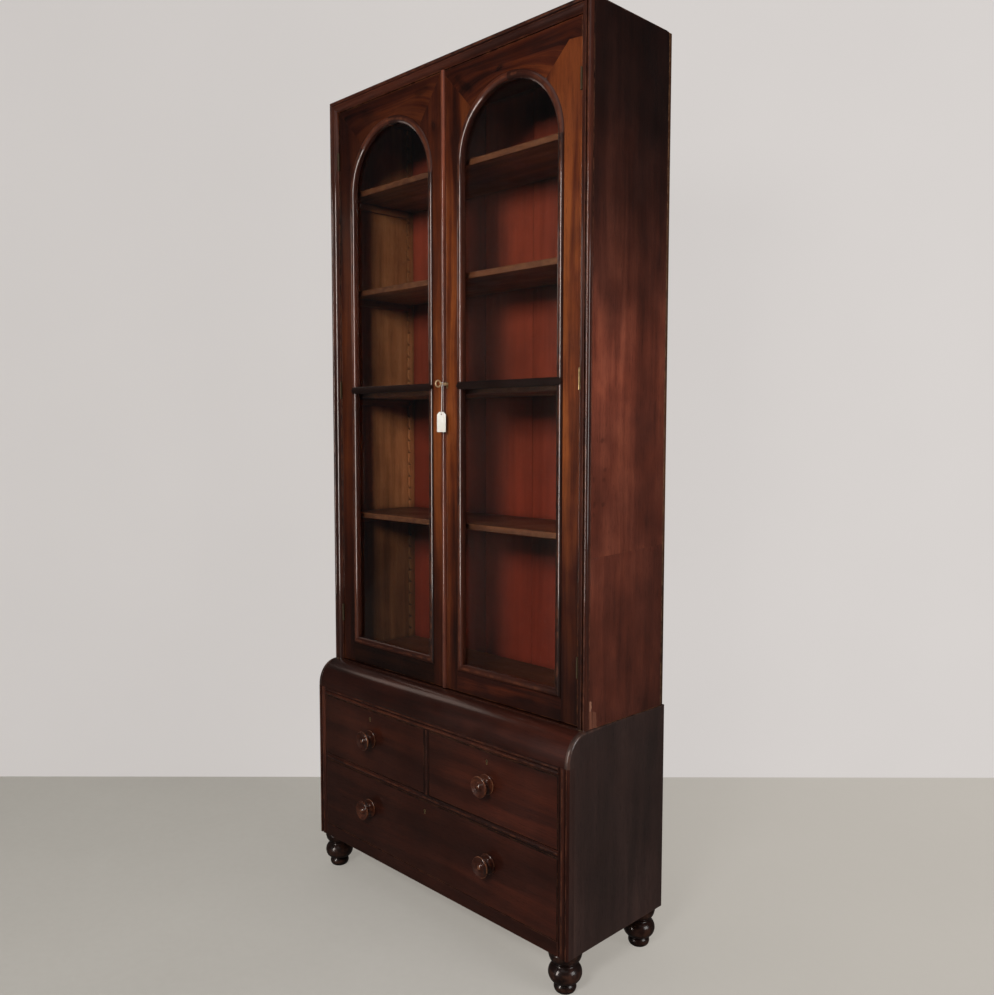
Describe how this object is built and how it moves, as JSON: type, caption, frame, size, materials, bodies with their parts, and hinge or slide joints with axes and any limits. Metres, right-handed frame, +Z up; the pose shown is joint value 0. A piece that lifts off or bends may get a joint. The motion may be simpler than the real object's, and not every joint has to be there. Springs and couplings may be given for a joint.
{
  "type": "display cabinet",
  "caption": "Tall glazed display cabinet: arched glass doors over a shelved upper case, standing on a low chest with a cushion frieze, drawers and turned bun feet.",
  "frame": {"origin": "on the floor, at the middle of the footprint, to within 3 mm front to back: y 0 is 2.75 mm in front of the exact middle between the knobs and the back", "axes": "+Z up, X along the front with +X to the right seen from the front, -Y is the front with the doors and drawers"},
  "size_m": [1, 0.4025, 2.286],
  "materials": {
    "case_wood": "French-polished mahogany, dark red-brown, high gloss",
    "side_wood": "polished mahogany veneer, streaked",
    "door_wood": "French-polished mahogany, orange-brown, high gloss",
    "moulding_wood": "French-polished dark mahogany moulding",
    "knob_wood": "turned and polished mahogany",
    "foot_wood": "turned dark mahogany",
    "back_wood": "red-stained softwood boards, satin",
    "inner_wood": "plain softwood, lightly stained",
    "shelf_wood": "softwood shelves, stained and waxed",
    "drawer_wood": "bare softwood drawer linings",
    "rough_wood": "unpolished carcass wood",
    "pane_glass": "clear window glass",
    "brass": "aged brass",
    "hinge_metal": "worn brass",
    "iron": "aged steel",
    "cotton": "twisted white cotton string",
    "card": "plain white card"
  },
  "bodies": {
    "root": {"upper_side_left": "side_wood", "upper_side_right": "side_wood", "upper_top_board": "rough_wood", "upper_bottom_board": "case_wood", "upper_back_boards": "back_wood", "case_face_frame": "moulding_wood", "frame_moulding_sides": "moulding_wood", "frame_moulding_top": "moulding_wood", "shelves": "shelf_wood", "shelf_ladders": "inner_wood", "shelf_bearers": "inner_wood", "hinge_case_leaves": "hinge_metal", "chest_side_left": "case_wood", "chest_side_right": "case_wood", "chest_stiles": "case_wood", "chest_top_board": "case_wood", "chest_bottom_board": "rough_wood", "chest_back_boards": "rough_wood", "frieze": "case_wood", "frieze_bead": "moulding_wood", "middle_rail": "moulding_wood", "drawer_divider": "moulding_wood", "bottom_rail": "case_wood", "dust_board": "rough_wood", "drawer_runners": "rough_wood", "feet": "foot_wood"},
    "door_left": {"door_left_stiles": "door_wood", "door_left_top_rail": "door_wood", "door_left_bottom_rail": "door_wood", "door_left_glazing_moulding": "moulding_wood", "door_left_panes": "pane_glass", "door_left_hinge_leaves": "hinge_metal", "door_left_bolt_plates": "brass"},
    "door_right": {"door_right_stiles": "door_wood", "door_right_top_rail": "door_wood", "door_right_bottom_rail": "door_wood", "door_right_glazing_moulding": "moulding_wood", "door_right_panes": "pane_glass", "door_right_hinge_leaves": "hinge_metal", "astragal": "moulding_wood", "door_lock": "brass"},
    "lock_bolt": {"lock_bolt": "brass"},
    "key": {"key": "iron"},
    "key_tag": {"string_loop": "cotton", "string": "cotton", "tag": "card"},
    "bolt_top": {"door_left_bolt_top": "brass"},
    "bolt_bottom": {"door_left_bolt_bottom": "brass"},
    "drawer_left": {"drawer_left_front": "case_wood", "drawer_left_box": "drawer_wood", "drawer_left_knob": "knob_wood", "drawer_left_lock": "brass"},
    "drawer_right": {"drawer_right_front": "case_wood", "drawer_right_box": "drawer_wood", "drawer_right_knob": "knob_wood", "drawer_right_lock": "brass"},
    "drawer_long": {"drawer_long_front": "case_wood", "drawer_long_box": "drawer_wood", "drawer_long_knobs": "knob_wood", "drawer_long_lock": "brass"}
  },
  "joints": [
    {"name": "door_left_hinge", "type": "hinge", "parent": "root", "child": "door_left", "pos_m": [-0.4655, -0.0986, 1.4465], "axis": [0, 0, -1], "range_deg": [0, 120]},
    {"name": "door_right_hinge", "type": "hinge", "parent": "root", "child": "door_right", "pos_m": [0.4655, -0.0986, 1.4465], "axis": [0, 0, 1], "range_deg": [0, 120]},
    {"name": "drawer_left_slide", "type": "slide", "parent": "root", "child": "drawer_left", "axis": [0, -1, 0], "range_m": [0, 0.25]},
    {"name": "drawer_right_slide", "type": "slide", "parent": "root", "child": "drawer_right", "axis": [0, -1, 0], "range_m": [0, 0.25]},
    {"name": "drawer_long_slide", "type": "slide", "parent": "root", "child": "drawer_long", "axis": [0, -1, 0], "range_m": [0, 0.25]},
    {"name": "key_turn", "type": "hinge", "parent": "door_right", "child": "key", "pos_m": [0.0085, -0.0955, 1.449], "axis": [0, 1, 0], "range_deg": [0, 180]},
    {"name": "lock_bolt_slide", "type": "slide", "parent": "door_right", "child": "lock_bolt", "axis": [-1, 0, 0], "range_m": [0, 0.008]},
    {"name": "tag_swing", "type": "hinge", "parent": "door_right", "child": "key_tag", "pos_m": [0.0085, -0.115, 1.449], "axis": [0, 1, 0], "range_deg": [-40, 40]},
    {"name": "bolt_top_slide", "type": "slide", "parent": "door_left", "child": "bolt_top", "axis": [0, 0, 1], "range_m": [0, 0.01]},
    {"name": "bolt_bottom_slide", "type": "slide", "parent": "door_left", "child": "bolt_bottom", "axis": [0, 0, -1], "range_m": [0, 0.01]}
  ],
  "couplings": [
    {"joint": "key_turn", "follows": "lock_bolt_slide", "rad_per_m": 392.69}
  ]
}
